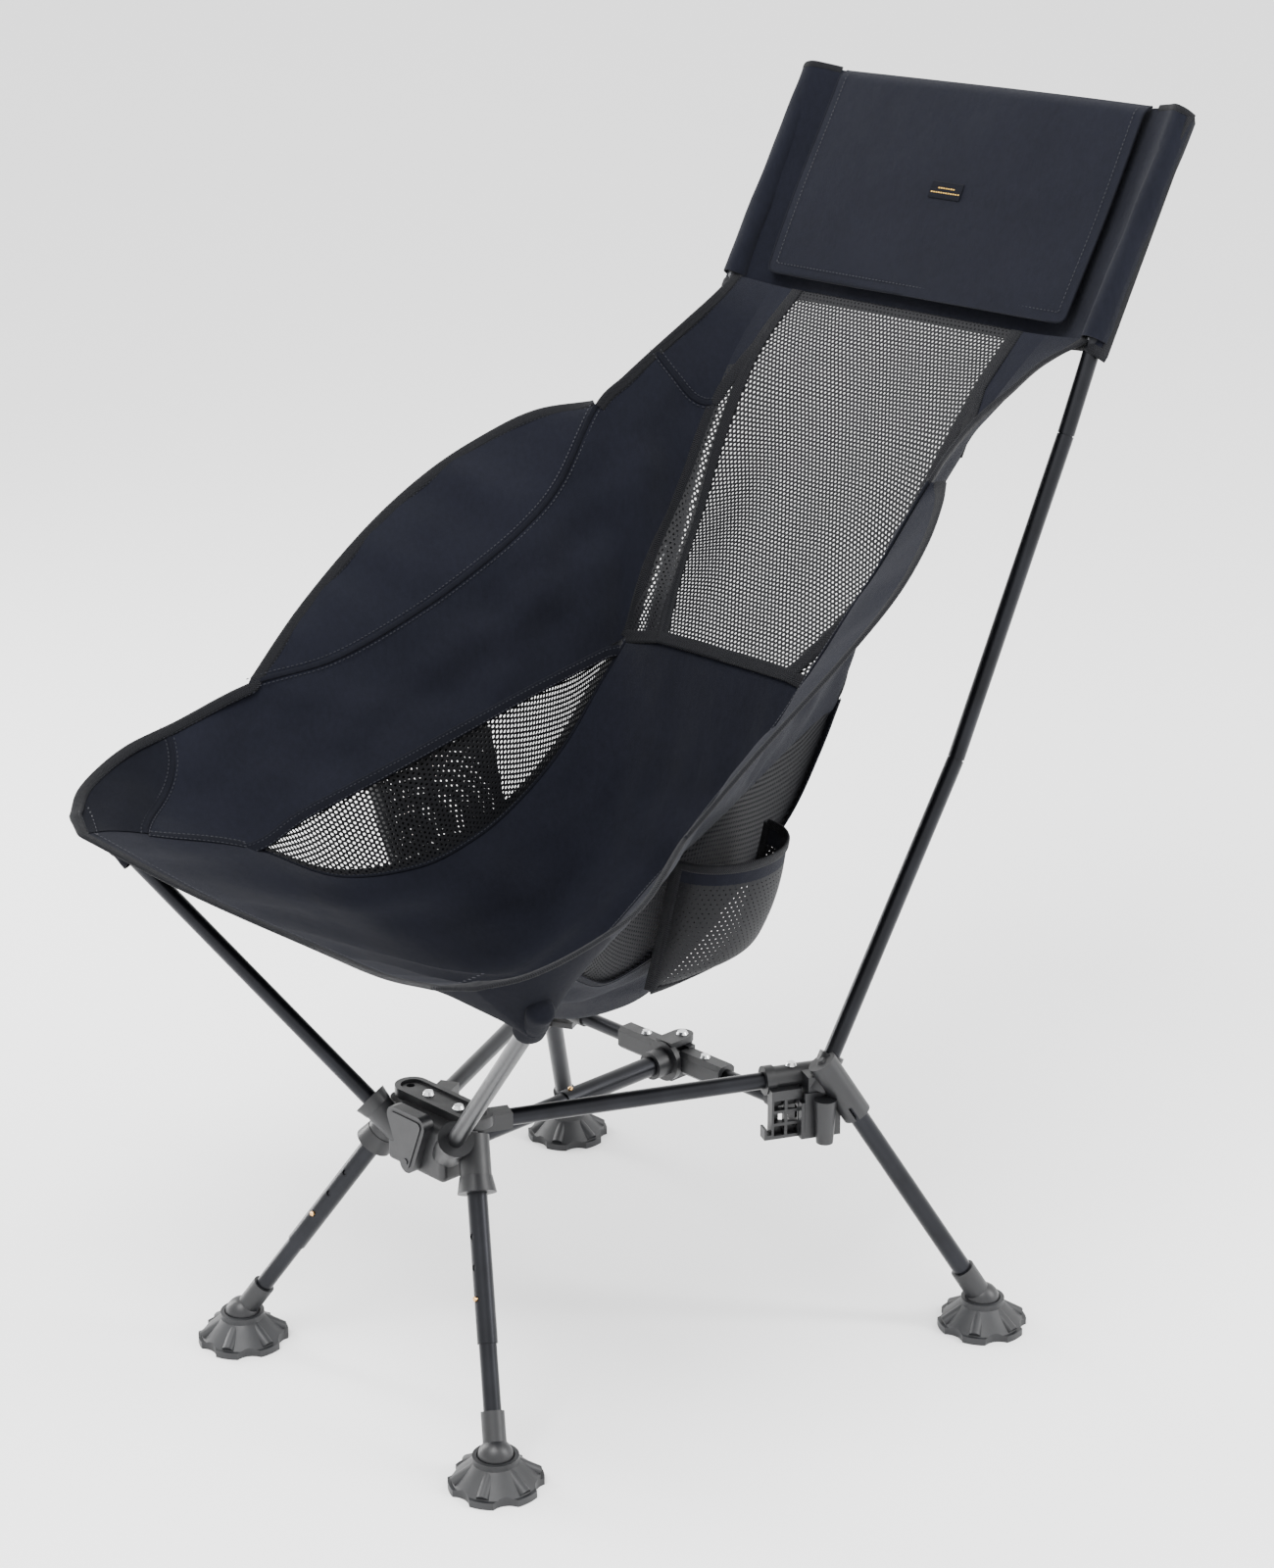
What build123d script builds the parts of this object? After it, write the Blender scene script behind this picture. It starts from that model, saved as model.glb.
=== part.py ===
from build123d import *
import math
import os

# Folding high-back camp chair on a tent-pole frame. Millimetres, +Z up, the sitter faces -Y.
# Left and right are the sitter's: left is +X. Heights start at the floor. Depths are written from
# the front feet, and everything is moved by ORIGIN_Y at the end, to the middle of the footprint.
ORIGIN_Y = 316.6

# Feet: ball joint centres of the left legs, and the ways the legs lean from there.
BALL_Z = 24.0
BALL_R = 14.0
FRONT_BALL = Vector(156.5, 0.6, BALL_Z)
FRONT_LEAN = Vector(-114.3, 82.6, 200).normalized()
REAR_BALL = Vector(253.0, 456.5, BALL_Z)
REAR_LEAN = Vector(-77.9, -98.8, 200).normalized()
PAD_R = 37.0
PAD_TOP = 26.0
PAD_RIM = 6.0
PAD_LOBES = 6
COLLAR_START, COLLAR_END = 6.0, 34.0
TUBE_SEAT = 16.0                      # where a leg tube starts inside its collar

# Tubes
WALL = 1.0
LEG_R = 8.0
LOWER_LEG_R = 7.0
SLIDE_GAP = 0.05
UPPER_LEG_START, UPPER_LEG_END = 85.0, 228.0
LOWER_LEG_END = 178.0
HOLE_STEP = 24.0
HOLES = [119.0 + HOLE_STEP * k for k in range(3)]
PIN_R = 2.0
PIN_TIP = 10.6
STRUT_R = 7.0
POLE_R = 7.0
SEAT_POLE_R = 6.75
CROSSBAR_R = 6.5
SPINE_INNER_R = 7.0
SPINE_OUTER_R = 8.5

# Folding linkage, in plan. The struts turn on the front hub, the crossbar halves on the middle pin.
STRUT_Z = 225.0
SPINE_Z = 196.5
BAR_Z = 197.0
BAR_Y = 347.0
STRUT_PIVOT = Vector(18, 89.6, STRUT_Z)
STRUT_ANGLE = 25.6
FOLD_ANGLE = 14.0
BAR_END_REACH = 291.0                 # from the strut pivot to the crossbar's outer pivot
MID_PIVOT = Vector(0, 355, SPINE_Z)

# Room beside the rear hub's clevis for the crossbar, which leaves its pin while the frame folds:
# along the strut, and outwards.
SWING_ROOM = [(-9, 17.6), (-15, 15.2), (-25, 11.6), (-37, 7.8), (-37, 6), (-9, 6)]

# Seat poles and back poles
SEAT_POLE_ROOT = Vector(16.9, 74, 200)
SEAT_POLE_WAY = Vector(203.9, -97, 200).normalized()
SEAT_POLE_LENGTH = 354.0
BACK_POLE_BASE = Vector(165, 368, 258)
BACK_POLE_FOOT = -29.5                # the pole's end in its socket, along the lower section
FERRULE_LOW = Vector(180, 485, 473)
FERRULE_HIGH = Vector(195, 589, 725)
POLE_BEND = Vector(199, 618.6, 804)
POLE_TIP = Vector(201, 712, 960)
POLE_BEND_R = 100.0
FERRULE_GAP = 0.9                     # keeps the cut ends apart where the pole bends at a ferrule

# Fabric
CLOTH = 2.4
HEAD_WAY = Vector(0, 94.1, 170.6).normalized()
HEAD_FRONT = Vector(0, -HEAD_WAY.Z, HEAD_WAY.Y)
FLAP_HINGE = Vector(0, 719.0, 969.3)
FLAP_LENGTH = 192.0
HEAD_GAP = 3.0

# Left half of the sling, front to back. Each row runs from the centre line over the low and the high
# edge of the side net to the outer seam.
SEAT_ROWS = [
    [(0, -33, 404), (110, -60, 423), (228, -88, 455), (232, -86, 456), (252, -72, 460)],
    [(0, 20, 381), (95, 10, 391), (212, -20, 434), (215, -18, 435), (279, -8, 484)],
    [(0, 75, 348), (85, 70, 361), (187, 46, 415), (191, 48, 417), (273, 47, 497)],
    [(0, 130, 317), (80, 126, 332), (157, 112, 379), (180, 100, 433), (248, 108, 519)],
    [(0, 185, 299), (77, 184, 313), (137, 182, 373), (163, 170, 456), (228, 174, 533)],
    [(0, 240, 299), (75, 240, 313), (130, 236, 384), (152, 240, 477), (217, 250, 558)],
    [(0, 295, 326), (73, 296, 339), (130, 288, 405), (141, 300, 496), (208, 310, 586)],
    [(0, 345, 386), (72, 346, 396), (128, 340, 443), (131, 350, 511), (200, 362, 616)],
    [(0, 378, 460), (72, 379, 464), (124, 378, 490), (125, 383, 520), (198, 402, 648)],
    [(0, 400, 539), (73, 401, 538), (117, 405.5, 528), (121, 406, 527), (203, 448, 705)],
]
# The back's rows run over the edge of the back net and the outer edge of its gusset.
BACK_ROWS = [
    [(0, 402, 541.5), (36, 402, 541.5), (74, 403, 540.5), (123, 408, 530), (204, 450, 709)],
    [(0, 441, 590), (48, 441, 590), (96, 443, 581), (131, 440, 577), (199, 478, 727)],
    [(0, 482, 640), (54, 481, 640), (108, 478, 623), (140, 484, 628), (195, 510, 746)],
    [(0, 523, 690), (58, 521, 690), (117, 515, 685), (146, 520, 682), (193, 545, 766)],
    [(0, 566, 742), (60, 563, 745), (123, 562, 750), (150, 562, 742), (190, 578, 785)],
    [(0, 610, 796), (60, 610, 796), (122, 615, 794), (152, 612, 796), (185, 611, 797)],
]
# Each wing runs from the seam to its free edge.
WING_ROWS = [
    [(249, 106, 520), (255, 103, 527)],
    [(229, 174, 534), (262, 172, 576)],
    [(218, 250, 559), (267, 246, 624)],
    [(209, 310, 587), (263, 310, 661)],
    [(201, 362, 617), (250, 364, 686)],
    [(199, 402, 649), (230, 404, 702)],
    [(204, 447, 704), (209, 447, 708)],
]
# Cup pocket: height, and how far its wall stands out from the net behind it.
POCKET_ROWS = [(355, 8), (375, 34), (405, 46), (435, 50), (465, 48)]
POCKET_MIDDLE = 228.0
POCKET_HALF = 56.0
POCKET_STEPS = 8
POCKET_THICK = 1.6


def pocket_base(y, z):
    """How far out the pocket's back lies, just outside the net."""
    return 147 + 0.26 * (z - 375) + 0.12 * (POCKET_MIDDLE - y)


# ---- shapes ----

def rod(start, end, radius, end_radius=None):
    """Solid round bar or cone between two points."""
    way = end - start
    place = Plane(origin=start, z_dir=way)
    if end_radius is None:
        return place * Cylinder(radius, way.length, align=(Align.CENTER, Align.CENTER, Align.MIN))
    return place * Cone(radius, end_radius, way.length, align=(Align.CENTER, Align.CENTER, Align.MIN))


def tube(start, end, radius, bore):
    return rod(start, end, radius) - rod(start, end, bore)


def block(low, high):
    """Box between two corners."""
    low, high = Vector(*low), Vector(*high)
    size = high - low
    return Pos(*(low + size * 0.5)) * Box(size.X, size.Y, size.Z)


def slot_plate(middle, width, depth, low, high):
    """Plate with round ends, long along X."""
    place = Plane(origin=(middle.X, middle.Y, low))
    return extrude(place * SlotOverall(width, depth), high - low)


def sheet(rows, thickness=CLOTH, normals=None):
    """Thin closed solid under a grid of points; it is thickened away from the sitter."""
    top = [[Vector(*p) for p in row] for row in rows]
    normals = normals or grid_normals(top)
    low = [[p + n * thickness for p, n in zip(*pair)] for pair in zip(top, normals)]
    faces = []

    def quad(a, b, c, d):
        for corners in ((a, b, c), (a, c, d)):
            faces.append(Face(Wire.make_polygon(corners, close=True)))

    last_row, last_col = len(top) - 1, len(top[0]) - 1
    for i in range(last_row):
        for j in range(last_col):
            quad(top[i][j], top[i][j + 1], top[i + 1][j + 1], top[i + 1][j])
            quad(low[i][j], low[i + 1][j], low[i + 1][j + 1], low[i][j + 1])
        quad(top[i][0], top[i + 1][0], low[i + 1][0], low[i][0])
        quad(top[i][last_col], low[i][last_col], low[i + 1][last_col], top[i + 1][last_col])
    for j in range(last_col):
        quad(top[0][j], low[0][j], low[0][j + 1], top[0][j + 1])
        quad(top[last_row][j], top[last_row][j + 1], low[last_row][j + 1], low[last_row][j])
    return Solid(Shell(faces))


def grid_normals(rows):
    """Unit normals of a grid, pointing away from the sitter."""
    def step(line, k):
        return line[min(k + 1, len(line) - 1)] - line[max(k - 1, 0)]

    columns = list(zip(*rows))
    return [[step(columns[j], i).cross(step(row, j)).normalized() for j in range(len(row))]
            for i, row in enumerate(rows)]


def full_width(rows):
    """Mirror the left half's rows into whole rows, right edge to left edge."""
    return [[(-x, y, z) for x, y, z in reversed(row[1:])] + list(row) for row in rows]


def panel(rows, normals, first, last, low=0, high=None):
    """Part of a grid, with the whole grid's normals, so that neighbouring panels meet exactly."""
    high = len(rows) if high is None else high
    return sheet([row[first:last + 1] for row in rows[low:high]],
                 normals=[row[first:last + 1] for row in normals[low:high]])


# ---- the folding linkage ----

def on_strut(reach, z=STRUT_Z):
    a = math.radians(STRUT_ANGLE)
    return Vector(STRUT_PIVOT.X + reach * math.sin(a), STRUT_PIVOT.Y + reach * math.cos(a), z)


BAR_END = on_strut(BAR_END_REACH, BAR_Z)
HUB_PLANE = Plane(origin=(BAR_END.X, BAR_END.Y, 0), x_dir=on_strut(1) - on_strut(0), z_dir=(0, 0, 1))


def hub_block(along, out, z):
    """Box in the rear hub's own directions: along the strut, outwards, and up."""
    corner, size = (along[0], -out[1], z[0]), (along[1] - along[0], out[1] - out[0], z[1] - z[0])
    return HUB_PLANE * Pos(*corner) * Box(*size, align=(Align.MIN, Align.MIN, Align.MIN))


def hub_point(along, out, z):
    return HUB_PLANE.from_local_coords(Vector(along, -out, z))


def pole_at(distance):
    """Point on the lower back pole section's line."""
    return BACK_POLE_BASE + (FERRULE_LOW - BACK_POLE_BASE).normalized() * distance


def front_leg_at(distance):
    return FRONT_BALL + FRONT_LEAN * distance


def rear_leg_at(distance):
    return REAR_BALL + REAR_LEAN * distance


def seat_pole_at(distance):
    return SEAT_POLE_ROOT + SEAT_POLE_WAY * distance


FORWARD = Vector(0, -1, 0)
UP = Vector(0, 0, 1)
PIN_WAY = (FORWARD - FRONT_LEAN * FORWARD.dot(FRONT_LEAN)).normalized()


# ---- feet and legs ----

def foot_pad(centre):
    """Rubber foot: a scalloped rim, six ridges and a ring that snaps over the ball."""
    rim = Circle(PAD_R)
    for k in range(PAD_LOBES):
        angle = math.radians(360 / PAD_LOBES * (k + 0.5))
        rim -= Pos(46 * math.cos(angle), 46 * math.sin(angle)) * Circle(14)
    outline = extrude(rim, PAD_TOP)
    cone = Pos(0, 0, PAD_RIM) * Cone(34, 18, 15, align=(Align.CENTER, Align.CENTER, Align.MIN))
    body = extrude(rim, PAD_RIM) + (cone & outline)
    for k in range(PAD_LOBES):
        angle = math.radians(360 / PAD_LOBES * k)
        way = Vector(math.cos(angle), math.sin(angle), 0)
        ridge = rod(way * 10 + Vector(0, 0, 20), way * 33 + Vector(0, 0, 6), 5)
        body += ridge & outline
    body += extrude(Circle(18), PAD_TOP)
    body -= Pos(0, 0, BALL_Z) * Sphere(BALL_R + 0.35)
    body -= Pos(0, 0, PAD_TOP) * Cylinder(14.6, 8, align=(Align.CENTER, Align.CENTER, Align.CENTER))
    return Pos(centre.X, centre.Y, 0) * body


def leg_end(ball, lean, tube_r, collar_r):
    """Ball and collar moulded in one, pushed over the leg tube's end."""
    part = Pos(*ball) * Sphere(BALL_R) + rod(ball + lean * COLLAR_START, ball + lean * COLLAR_END, collar_r)
    return part - rod(ball + lean * TUBE_SEAT, ball + lean * (COLLAR_END + 1), tube_r)


def pin_hole(at, way, radius):
    return rod(at, at + way * 12, radius)


def snap_pin(at, way, along):
    """Brass pin on its spring strip, inside a tube of 6 mm bore radius."""
    place = Plane(origin=at + way * 4.2, x_dir=along, z_dir=way)
    strip = place * Box(34, 4.6, 0.7, align=(Align.CENTER, Align.CENTER, Align.MIN))
    shank = rod(at + way * 4.5, at + way * (PIN_TIP - 1.0), PIN_R)
    dome = rod(at + way * (PIN_TIP - 1.0), at + way * PIN_TIP, PIN_R, 1.0)
    return strip + shank + dome


# ---- hubs ----

def front_hub():
    """Block with two leg sockets, two seat pole sockets, the struts' fork and the spine's socket."""
    body = fillet(block((-34, 58, 188), (34, 98, 234)).edges(), 5)
    middle = Vector(0, STRUT_PIVOT.Y, 0)
    body += slot_plate(middle, 104, 28, 232.5, 241)
    body += slot_plate(middle, 86, 28, 208.5, 217.5)
    place = Plane(origin=(0, 60, 0), x_dir=(1, 0, 0), z_dir=(0, -1, 0))
    body += extrude(place * badge_outline(8), 10, dir=FORWARD)
    body += rod(Vector(0, 84, SPINE_Z), Vector(0, 104, SPINE_Z), 11)
    for side in (1, -1):
        half = rod(front_leg_at(201), front_leg_at(246), 12.5)
        half += rod(front_leg_at(201), front_leg_at(214), 15.5, 13)
        half += rod(seat_pole_at(8), seat_pole_at(52), 12)
        half += rod(seat_pole_at(42), seat_pole_at(52), 12.5, 14.5)
        body += half if side > 0 else mirror(half, Plane.YZ)
    body -= slot_plate(middle, 94, 19, 239, 242)
    for side in (1, -1):
        cut = rod(front_leg_at(190), front_leg_at(UPPER_LEG_END), LEG_R)
        cut += rod(seat_pole_at(25), seat_pole_at(60), SEAT_POLE_R)
        cut += Pos(40, STRUT_PIVOT.Y, 232) * Cylinder(3.5, 20)
        cut += rod(STRUT_PIVOT - Vector(0, 0, 7.5), STRUT_PIVOT + Vector(0, 0, 7.5), 10.5)
        for turn in (0, FOLD_ANGLE / 2, FOLD_ANGLE):
            a = math.radians(STRUT_ANGLE - turn)
            way = Plane(origin=STRUT_PIVOT, x_dir=(math.sin(a), math.cos(a), 0), z_dir=(0, 0, 1))
            cut += way * Box(60, 19, 15, align=(Align.MIN, Align.CENTER, Align.CENTER))
        body -= cut if side > 0 else mirror(cut, Plane.YZ)
        body -= Pos(side * STRUT_PIVOT.X, STRUT_PIVOT.Y, 225) * Cylinder(3, 60)
    body -= rod(Vector(0, 87, SPINE_Z), Vector(0, 110, SPINE_Z), SPINE_INNER_R)
    return body - hub_badge() - hub_pins()


def badge_outline(corner):
    shape = Polygon((26, 242), (-26, 242), (0, 176), align=None)
    return fillet(shape.vertices(), corner)


def hub_badge():
    """Blank snap-in cover in the shape of a rounded triangle."""
    place = Plane(origin=(0, 53, 0), x_dir=(1, 0, 0), z_dir=(0, -1, 0))
    cover = extrude(place * offset(badge_outline(8), -4), 4, dir=FORWARD)
    return cover + rod(Vector(0, 50, 200), Vector(0, 48.2, 200), 2.6)


def hub_pins():
    """The two rivets that the struts turn on."""
    pins = []
    for side in (1, -1):
        x, y = side * STRUT_PIVOT.X, STRUT_PIVOT.Y
        pin = rod(Vector(x, y, 207), Vector(x, y, 240), 3)
        pin += rod(Vector(x, y, 239), Vector(x, y, 241.5), 5, 3.5)
        pin += rod(Vector(x, y, 208.5), Vector(x, y, 206), 4.6, 3.5)
        pins.append(pin)
    return pins[0] + pins[1]


def strut_eye():
    """Fork fitting on the strut's front end, with a spigot inside the tube."""
    top, low = Vector(0, 0, 6.9), Vector(0, 0, -6.9)
    a = math.radians(STRUT_ANGLE)
    place = Plane(origin=STRUT_PIVOT, x_dir=(math.sin(a), math.cos(a), 0), z_dir=(0, 0, 1))
    eye = rod(STRUT_PIVOT + low, STRUT_PIVOT + top, 8.6)
    eye += place * Box(42, 16, 13.8, align=(Align.MIN, Align.CENTER, Align.CENTER))
    eye += rod(on_strut(40), on_strut(62), STRUT_R - WALL)
    return eye - rod(STRUT_PIVOT + low * 2, STRUT_PIVOT + top * 2, 3.05)


def strut_rivet():
    at = on_strut(279)
    shank = rod(at + Vector(0, 0, -6), at + Vector(0, 0, 12), 2.4)
    return shank + rod(at + Vector(0, 0, 10.5), at + Vector(0, 0, 13), 4.6, 3.2)


def rear_hub():
    """Strut socket, leg sleeve, back pole socket, ribbed box and the open clevis for the crossbar."""
    body = rod(on_strut(255), on_strut(310), 10.5) + rod(on_strut(255), on_strut(263), 12)
    body += rod(rear_leg_at(206), rear_leg_at(262), 12)
    body += rod(pole_at(-44), pole_at(-13), 10.5)
    body += hub_block((-6, 24), (-8, 24), (207.5, 233))
    body += hub_block((-11, 22), (-12, 24), (207.5, 212))
    body += hub_block((-11, 22), (-12, 25), (180, 185))
    body += hub_block((-9, 22), (21.6, 25), (180, 220))
    body += hub_block((-35, -9.2), (8, 18), (180, 222))
    body += hub_block((-41, -35), (8, 18), (180, 184))
    body += hub_block((-41, -39), (8, 18), (180, 190))
    body += hub_block((-12, -9.2), (8, 25), (180, 212))
    body += rod(hub_point(6, 31, 178), hub_point(6, 31, 216), 7, 9.3)
    for column in range(2):
        for row in range(3):
            along, low = -33 + 11.5 * column, 183 + 11 * row
            body -= hub_block((along, along + 9), (11, 19), (low, low + 8.5))
    body -= hub_block((-9.2, 21.6), (-30, 21.6), (185, 207.5))
    corners = [HUB_PLANE.from_local_coords(Vector(along, -out, 188)) for along, out in SWING_ROOM]
    body -= extrude(Face(Wire.make_polygon(corners, close=True)), 18, dir=UP)
    body -= rod(on_strut(250), on_strut(295), STRUT_R)
    body -= rod(rear_leg_at(200), rear_leg_at(232), LEG_R)
    body -= rod(pole_at(BACK_POLE_FOOT), pole_at(0), POLE_R)
    split = Plane(origin=rear_leg_at(206), x_dir=Vector(1, -1, 0), z_dir=REAR_LEAN)
    body -= split * Pos(10, 0, 0) * Box(12, 3, 26)
    return body - rear_hub_plug() - strut_rivet()


def rear_hub_plug():
    """Domed plug in the oval recess on top of the leg sleeve."""
    return rod(rear_leg_at(258), rear_leg_at(262), 4.8) + rod(rear_leg_at(262), rear_leg_at(264), 4.8, 3)


def mid_fitting():
    """Collar and stop disc on the spine tube, with two ears for the crossbar pin."""
    def spine(y):
        return Vector(0, y, SPINE_Z)

    body = rod(spine(317), spine(332), 12) + rod(spine(332), spine(337), 17.5)
    body += rod(spine(337), spine(345), 10.3)
    for low, high in ((209.5, 215), (180.5, 185.5)):
        body += block((-9.5, 333, low), (9.5, 355, high))
        body += Pos(0, MID_PIVOT.Y, (low + high) / 2) * Cylinder(9.5, high - low)
    body -= rod(spine(310), spine(341), SPINE_OUTER_R)
    return body - Pos(0, MID_PIVOT.Y, SPINE_Z) * Cylinder(3, 60)


def mid_pin():
    x, y = MID_PIVOT.X, MID_PIVOT.Y
    pin = rod(Vector(x, y, 179), Vector(x, y, 217), 3)
    pin += rod(Vector(x, y, 215), Vector(x, y, 217.2), 5.2, 3.8)
    return pin + rod(Vector(x, y, 180.5), Vector(x, y, 178.5), 4.6, 3.5)


def bracket_rivet():
    shank = rod(Vector(35, BAR_Y, BAR_Z - 11), Vector(35, BAR_Y, BAR_Z + 11), 2.4)
    return shank + rod(Vector(35, BAR_Y, BAR_Z + 10), Vector(35, BAR_Y, BAR_Z + 12.3), 4.6, 3.2)


def crossbar_bracket(knuckle_low, knuckle_high):
    """Square sleeve on a crossbar half, with a knuckle round the middle pin."""
    sleeve = chamfer(block((12, BAR_Y - 9.5, 187), (60, BAR_Y + 9.5, 207)).edges().filter_by(Axis.X), 3.5)
    middle = (knuckle_low + knuckle_high) / 2
    knuckle = Pos(0, MID_PIVOT.Y, middle) * Cylinder(8.8, knuckle_high - knuckle_low)
    knuckle += block((0, 349, knuckle_low), (14, 356.5, knuckle_high))
    body = sleeve + knuckle - Pos(0, MID_PIVOT.Y, SPINE_Z) * Cylinder(3.05, 60)
    body -= rod(Vector(22, BAR_Y, BAR_Z), Vector(61, BAR_Y, BAR_Z), CROSSBAR_R)
    return body - bracket_rivet()


def crossbar_eye():
    """Outer end of a crossbar half, with the eye that swings in the rear hub's clevis."""
    body = rod(Vector(110, BAR_Y, BAR_Z), Vector(132, BAR_Y, BAR_Z), 8)
    body += block((126, BAR_Y - 6, BAR_Z - 7), (BAR_END.X, BAR_END.Y + 4, BAR_Z + 7))
    body += Pos(*BAR_END) * Cylinder(8, 14)
    body -= Pos(*BAR_END) * Cylinder(3.2, 40)
    return body - rod(Vector(100, BAR_Y, BAR_Z), Vector(124, BAR_Y, BAR_Z), CROSSBAR_R)


# ---- poles ----

def pole_upper():
    low = (FERRULE_HIGH - FERRULE_LOW).normalized()
    first = FERRULE_HIGH + (POLE_BEND - FERRULE_HIGH).normalized() * FERRULE_GAP
    path = FilletPolyline(first, POLE_BEND, POLE_TIP, radius=POLE_BEND_R)
    start = Plane(origin=path @ 0, z_dir=path % 0)
    body = sweep(start * Circle(POLE_R), path) - sweep(start * Circle(POLE_R - WALL), path)
    body += rod(FERRULE_HIGH - low * 30, FERRULE_HIGH + low * 8, POLE_R - WALL - SLIDE_GAP)
    return body


def pole_middle():
    low = (FERRULE_LOW - BACK_POLE_BASE).normalized()
    first = FERRULE_LOW + (FERRULE_HIGH - FERRULE_LOW).normalized() * FERRULE_GAP
    body = tube(first, FERRULE_HIGH, POLE_R, POLE_R - WALL)
    return body + rod(FERRULE_LOW - low * 30, FERRULE_LOW + low * 8, POLE_R - WALL - SLIDE_GAP)


def pole_sleeve():
    """Hem of the head panel round a back pole, closed at the top."""
    way = (POLE_TIP - POLE_BEND).normalized()
    sleeve = rod(POLE_BEND + way * 10, POLE_TIP + way * 4, 9)
    sleeve -= rod(POLE_BEND, POLE_TIP + way * 1.5, POLE_R + 0.5)
    return sleeve


def tip_pocket():
    """Pocket under a front corner that the seat pole's tip sits in."""
    pocket = rod(seat_pole_at(SEAT_POLE_LENGTH - 34), seat_pole_at(SEAT_POLE_LENGTH + 5), 11, 9)
    return pocket - rod(seat_pole_at(300), seat_pole_at(SEAT_POLE_LENGTH + 1.5), SEAT_POLE_R + 0.6)


# ---- fabric ----

def head_rows(gap, top, bottom, half_width):
    """Flat panel below the flap's hinge line, set off from it to the front."""
    rows = []
    for distance in (bottom, (top + bottom) / 2, top):
        row = FLAP_HINGE - HEAD_WAY * distance + HEAD_FRONT * gap
        rows.append([(x, row.Y, row.Z) for x in (-half_width, 0, half_width)])
    return rows


def cup_pocket():
    """Open pocket on the outside of the seat's side net."""
    rows = []
    for z, depth in POCKET_ROWS:
        row = []
        for k in range(POCKET_STEPS + 1):
            a = math.pi * k / POCKET_STEPS
            y = POCKET_MIDDLE - POCKET_HALF * math.cos(a)
            row.append((pocket_base(y, z) + depth * math.sin(a), y, z))
        rows.append(row)
    floor_z, floor_depth = POCKET_ROWS[0]
    middle = pocket_base(POCKET_MIDDLE, floor_z)
    low = (middle, POCKET_MIDDLE - POCKET_HALF + 8, floor_z - 1)
    high = (middle + floor_depth, POCKET_MIDDLE + POCKET_HALF - 8, floor_z + 1)
    return sheet(rows, thickness=-POCKET_THICK) + block(low, high)


# ---- making ----

os.makedirs("parts", exist_ok=True)


def put(name, shape):
    solids = shape.solids() if hasattr(shape, "solids") else list(shape)
    placed = [Pos(0, -ORIGIN_Y, 0) * s for s in solids]
    export_step(placed[0] if len(placed) == 1 else Compound(children=placed), f"parts/{name}.step")


def put_pair(name, shape):
    put(name + "_left", shape)
    put(name + "_right", mirror(shape, Plane.YZ))


def put_both(name, shape):
    """Two mirrored solids that share one node."""
    solids = list(shape.solids())
    put(name, Compound(children=solids + [mirror(s, Plane.YZ) for s in solids]))


put("front_hub", front_hub())
put("hub_badge", hub_badge())
put("hub_pins", hub_pins())

upper_leg = tube(front_leg_at(UPPER_LEG_START), front_leg_at(UPPER_LEG_END), LEG_R, LOWER_LEG_R + SLIDE_GAP)
for place in HOLES:
    upper_leg -= pin_hole(front_leg_at(place), PIN_WAY, PIN_R + 0.4)
put_pair("upper_leg", upper_leg)

lower_leg = tube(front_leg_at(TUBE_SEAT), front_leg_at(LOWER_LEG_END), LOWER_LEG_R, LOWER_LEG_R - WALL)
put_pair("lower_leg", lower_leg - pin_hole(front_leg_at(HOLES[0]), PIN_WAY, PIN_R + SLIDE_GAP))
put_pair("leg_button", snap_pin(front_leg_at(HOLES[0]), PIN_WAY, FRONT_LEAN))
put_pair("lower_leg_end", leg_end(FRONT_BALL, FRONT_LEAN, LOWER_LEG_R, 9.2))
put_pair("front_foot", foot_pad(FRONT_BALL))

put_pair("seat_pole", tube(seat_pole_at(25), seat_pole_at(SEAT_POLE_LENGTH), SEAT_POLE_R, SEAT_POLE_R - WALL))
strut = tube(on_strut(42), on_strut(295), STRUT_R, STRUT_R - WALL)
put_pair("side_strut", strut - strut_rivet())
put_pair("strut_eye", strut_eye())
put_pair("strut_rivet", strut_rivet())
put_pair("rear_hub", rear_hub())
put_pair("rear_hub_plug", rear_hub_plug())
put_pair("rear_leg", tube(rear_leg_at(TUBE_SEAT), rear_leg_at(232), LEG_R, LEG_R - WALL))
put_pair("rear_leg_end", leg_end(REAR_BALL, REAR_LEAN, LEG_R, 10.2))
put_pair("rear_foot", foot_pad(REAR_BALL))
put_pair("back_pole_lower", tube(pole_at(BACK_POLE_FOOT), FERRULE_LOW, POLE_R, POLE_R - WALL))
put_pair("back_pole_middle", pole_middle())
put_pair("back_pole_upper", pole_upper())

spine_pin = Vector(0, 226, SPINE_Z)
spine_inner = tube(Vector(0, 87, SPINE_Z), Vector(0, 238, SPINE_Z), SPINE_INNER_R, SPINE_INNER_R - WALL)
put("spine_inner_tube", spine_inner - pin_hole(spine_pin, UP, PIN_R + SLIDE_GAP))
spine_outer = tube(Vector(0, 218, SPINE_Z), Vector(0, 341, SPINE_Z), SPINE_OUTER_R, SPINE_INNER_R + SLIDE_GAP)
put("spine_outer_tube", spine_outer - pin_hole(spine_pin, UP, PIN_R + 0.4))
put("spine_button", snap_pin(spine_pin, UP, Vector(0, 1, 0)))
put("mid_fitting", mid_fitting())
put("mid_pin", mid_pin())

crossbar = tube(Vector(22, BAR_Y, BAR_Z), Vector(124, BAR_Y, BAR_Z), CROSSBAR_R, CROSSBAR_R - WALL)
put_pair("crossbar_tube", crossbar - bracket_rivet())
put("crossbar_bracket_left", crossbar_bracket(198.0, 208.5))
put("crossbar_bracket_right", mirror(crossbar_bracket(187.0, 197.6), Plane.YZ))
put_pair("bracket_rivet", bracket_rivet())
put_pair("crossbar_eye", crossbar_eye())

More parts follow.
